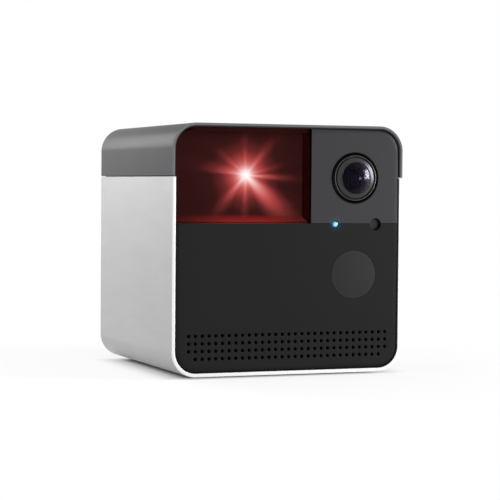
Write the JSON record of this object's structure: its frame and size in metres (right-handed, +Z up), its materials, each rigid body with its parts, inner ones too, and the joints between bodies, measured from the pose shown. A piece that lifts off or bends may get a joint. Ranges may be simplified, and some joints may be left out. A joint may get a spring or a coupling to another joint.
{
  "type": "pet camera",
  "caption": "Cube-shaped pet camera: a wide lens, a speaker grille and a laser on a geared pan and tilt head behind a smoked window, with a rubber base pad and a tripod thread.",
  "frame": {"origin": "under the middle of the base pad, where it stands", "axes": "+Z up, the front face looks along -Y, +X to the right seen from the front"},
  "size_m": [0.0806, 0.0798, 0.0818],
  "materials": {
    "blasted_aluminium": "fine bead-blasted, satin",
    "dark_abs": "fine moulded grain",
    "black_abs": "matte moulded",
    "grey_plate": "satin",
    "smoked_acrylic": "polished",
    "frame_black": "matte moulded",
    "rubber_pad": "matte",
    "brass": "turned",
    "steel": "plain",
    "lens_black": "satin black",
    "lens_metal": "anodised, turned",
    "coated_glass": "coated",
    "board_green": "solder mask",
    "chip_black": "moulded epoxy",
    "infrared_window": "satin",
    "lamp_resin": "clear resin",
    "blue_light": "lit light pipe",
    "sensor_grey": "satin",
    "acetal_white": "moulded",
    "ribbon_film": "film",
    "speaker_cloth": "fine mesh",
    "paper_cone": "pressed",
    "laser_red": "lit lens"
  },
  "bodies": {
    "casing": {"lower_shell": "blasted_aluminium", "top_cap": "dark_abs", "rear_cover": "dark_abs", "front_panel": "black_abs", "camera_plate": "grey_plate", "laser_window": "smoked_acrylic", "front_frame": "frame_black", "chassis": "frame_black", "laser_bracket": "frame_black", "speaker_frame": "frame_black", "base_pad": "rubber_pad", "tripod_insert": "brass", "pan_bush": "brass", "base_screws": "steel", "cap_screws": "steel", "front_screws": "steel", "camera_screws": "steel", "speaker_screws": "steel", "board_screws": "steel", "bracket_screws": "steel", "shield_can": "steel", "usb_socket": "steel", "reset_switch": "steel", "pan_motor": "steel", "speaker_magnet": "steel", "lens_ring": "lens_black", "lens_barrel": "lens_black", "lens_cone": "lens_metal", "lens_glass": "coated_glass", "camera_board": "board_green", "ir_board": "board_green", "indicator_board": "board_green", "main_board": "board_green", "image_sensor": "chip_black", "light_sensor": "chip_black", "ribbon_connectors": "chip_black", "usb_tongue": "chip_black", "ir_window": "infrared_window", "ir_leds": "lamp_resin", "status_led": "lamp_resin", "status_light_pipe": "blue_light", "sensor_window": "sensor_grey", "camera_ribbon": "ribbon_film", "grille_cloth": "speaker_cloth", "speaker_cone": "paper_cone"},
    "pan_head": {"pan_yoke": "frame_black", "pan_gear": "acetal_white", "retaining_ring": "steel", "tilt_pins": "steel", "tilt_motor": "steel"},
    "pan_drive": {"pan_pinion": "acetal_white"},
    "laser_head": {"laser_cradle": "frame_black", "laser_hood": "frame_black", "tilt_gear": "acetal_white", "laser_module": "brass", "laser_lens": "laser_red"},
    "tilt_drive": {"tilt_pinion": "acetal_white"},
    "button": {"reset_button": "dark_abs", "switch_plunger": "chip_black"}
  },
  "joints": [
    {"name": "laser_pan", "type": "hinge", "parent": "casing", "child": "pan_head", "pos_m": [-0.0135, -0.0207, 0.0653], "axis": [0, 0, 1], "range_deg": [-30, 30]},
    {"name": "pan_pinion_spin", "type": "hinge", "parent": "casing", "child": "pan_drive", "pos_m": [-0.0135, -0.00965, 0.0653], "axis": [0, 0, 1], "range_deg": [-81, 81]},
    {"name": "laser_tilt", "type": "hinge", "parent": "pan_head", "child": "laser_head", "pos_m": [-0.0135, -0.0207, 0.0653], "axis": [1, 0, 0], "range_deg": [-10, 25]},
    {"name": "tilt_pinion_spin", "type": "hinge", "parent": "pan_head", "child": "tilt_drive", "pos_m": [-0.0135, -0.01015, 0.0653], "axis": [1, 0, 0], "range_deg": [-63, 26]},
    {"name": "reset_press", "type": "slide", "parent": "casing", "child": "button", "axis": [0, -1, 0], "range_m": [0, 0.0006], "stiffness_N_per_m": 1500}
  ],
  "couplings": [
    {"joint": "pan_pinion_spin", "follows": "laser_pan", "ratio": -2.6667},
    {"joint": "tilt_pinion_spin", "follows": "laser_tilt", "ratio": -2.5}
  ]
}
